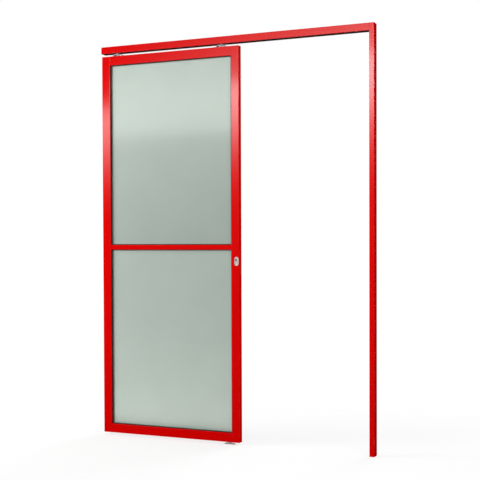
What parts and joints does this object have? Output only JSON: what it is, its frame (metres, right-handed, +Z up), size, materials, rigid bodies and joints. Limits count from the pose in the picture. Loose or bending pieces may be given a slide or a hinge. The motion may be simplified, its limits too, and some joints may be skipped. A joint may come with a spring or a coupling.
{
  "type": "top-hung glazed sliding door set",
  "caption": "Framed sliding door leaf with frosted panes, hung on roller carriages from a head track, with a jamb post, hook lock and floor guide.",
  "frame": {"origin": "on the floor, below the middle of the overall width and in the leaf's middle plane", "axes": "+X right along the head towards the jamb post, +Y from the front face to the back, +Z up"},
  "size_m": [1.57, 0.048, 2.165],
  "materials": {
    "red_coat": "glossy red powder coat on extruded aluminium",
    "black_anodised": "black anodised extrusion",
    "black_rubber": "matt black rubber",
    "frosted_glass": "satin frosted glass, pale green",
    "zinc_steel": "zinc plated steel",
    "bright_chrome": "polished chrome plate",
    "brass": "plain brass",
    "white_nylon": "off-white nylon"
  },
  "bodies": {
    "frame": {"head_cover": "red_coat", "running_track": "black_anodised", "head_end_cap": "red_coat", "track_screws": "zinc_steel", "jamb_post": "red_coat", "jamb_top_cap": "red_coat", "jamb_foot": "red_coat", "jamb_seal": "black_rubber", "strike_plate": "zinc_steel", "strike_screws": "zinc_steel", "corner_cleat": "zinc_steel", "corner_screws": "zinc_steel", "left_stop": "zinc_steel", "right_stop": "zinc_steel", "stop_buffers": "black_rubber", "stop_screws": "zinc_steel", "guide_base": "zinc_steel", "guide_fin": "white_nylon"},
    "leaf": {"left_stile": "red_coat", "lock_stile": "red_coat", "top_rail": "red_coat", "mid_rail": "red_coat", "bottom_rail": "red_coat", "access_plugs": "red_coat", "stile_caps": "red_coat", "lock_faceplate": "red_coat", "faceplate_screws": "red_coat", "upper_gasket": "black_rubber", "lower_gasket": "black_rubber", "upper_pane": "frosted_glass", "lower_pane": "frosted_glass", "rail_cleats": "zinc_steel", "frame_screws": "zinc_steel", "left_bridge": "zinc_steel", "right_bridge": "zinc_steel", "bridge_screws": "zinc_steel", "hanger_bolts": "zinc_steel", "hanger_nuts": "zinc_steel", "left_carriage": "zinc_steel", "right_carriage": "zinc_steel", "wheel_axles": "zinc_steel", "lock_case": "zinc_steel", "hook_pin": "zinc_steel", "lock_cylinder": "bright_chrome", "front_escutcheon": "bright_chrome", "rear_escutcheon": "bright_chrome", "escutcheon_screws": "bright_chrome"},
    "wheel_1": {"wheel_1": "white_nylon"},
    "wheel_2": {"wheel_2": "white_nylon"},
    "wheel_3": {"wheel_3": "white_nylon"},
    "wheel_4": {"wheel_4": "white_nylon"},
    "wheel_5": {"wheel_5": "white_nylon"},
    "wheel_6": {"wheel_6": "white_nylon"},
    "wheel_7": {"wheel_7": "white_nylon"},
    "wheel_8": {"wheel_8": "white_nylon"},
    "key_plug": {"front_plug": "bright_chrome", "rear_plug": "bright_chrome", "lock_cam": "brass"},
    "hook": {"hook_bolt": "zinc_steel"}
  },
  "joints": [
    {"name": "leaf_slide", "type": "slide", "parent": "frame", "child": "leaf", "axis": [1, 0, 0], "range_m": [0, 0.7072]},
    {"name": "wheel_1_spin", "type": "hinge", "parent": "leaf", "child": "wheel_1", "pos_m": [-0.7095, -0.01315, 2.1432], "axis": [0, 1, 0], "continuous": true},
    {"name": "wheel_2_spin", "type": "hinge", "parent": "leaf", "child": "wheel_2", "pos_m": [-0.6695, -0.01315, 2.1432], "axis": [0, 1, 0], "continuous": true},
    {"name": "wheel_3_spin", "type": "hinge", "parent": "leaf", "child": "wheel_3", "pos_m": [-0.7095, 0.01315, 2.1432], "axis": [0, 1, 0], "continuous": true},
    {"name": "wheel_4_spin", "type": "hinge", "parent": "leaf", "child": "wheel_4", "pos_m": [-0.6695, 0.01315, 2.1432], "axis": [0, 1, 0], "continuous": true},
    {"name": "wheel_5_spin", "type": "hinge", "parent": "leaf", "child": "wheel_5", "pos_m": [-0.0795, -0.01315, 2.1432], "axis": [0, 1, 0], "continuous": true},
    {"name": "wheel_6_spin", "type": "hinge", "parent": "leaf", "child": "wheel_6", "pos_m": [-0.0395, -0.01315, 2.1432], "axis": [0, 1, 0], "continuous": true},
    {"name": "wheel_7_spin", "type": "hinge", "parent": "leaf", "child": "wheel_7", "pos_m": [-0.0795, 0.01315, 2.1432], "axis": [0, 1, 0], "continuous": true},
    {"name": "wheel_8_spin", "type": "hinge", "parent": "leaf", "child": "wheel_8", "pos_m": [-0.0395, 0.01315, 2.1432], "axis": [0, 1, 0], "continuous": true},
    {"name": "key_turn", "type": "hinge", "parent": "leaf", "child": "key_plug", "pos_m": [0.033, 0, 0.983], "axis": [0, 1, 0], "range_deg": [0, 360]},
    {"name": "hook_swing", "type": "hinge", "parent": "leaf", "child": "hook", "pos_m": [0.033, 0, 0.92155], "axis": [0, 1, 0], "range_deg": [0, 90]}
  ],
  "couplings": [
    {"joint": "wheel_1_spin", "follows": "leaf_slide", "rad_per_m": 90.909},
    {"joint": "wheel_2_spin", "follows": "leaf_slide", "rad_per_m": 90.909},
    {"joint": "wheel_3_spin", "follows": "leaf_slide", "rad_per_m": 90.909},
    {"joint": "wheel_4_spin", "follows": "leaf_slide", "rad_per_m": 90.909},
    {"joint": "wheel_5_spin", "follows": "leaf_slide", "rad_per_m": 90.909},
    {"joint": "wheel_6_spin", "follows": "leaf_slide", "rad_per_m": 90.909},
    {"joint": "wheel_7_spin", "follows": "leaf_slide", "rad_per_m": 90.909},
    {"joint": "wheel_8_spin", "follows": "leaf_slide", "rad_per_m": 90.909},
    {"joint": "hook_swing", "follows": "key_turn", "ratio": 0.25}
  ]
}
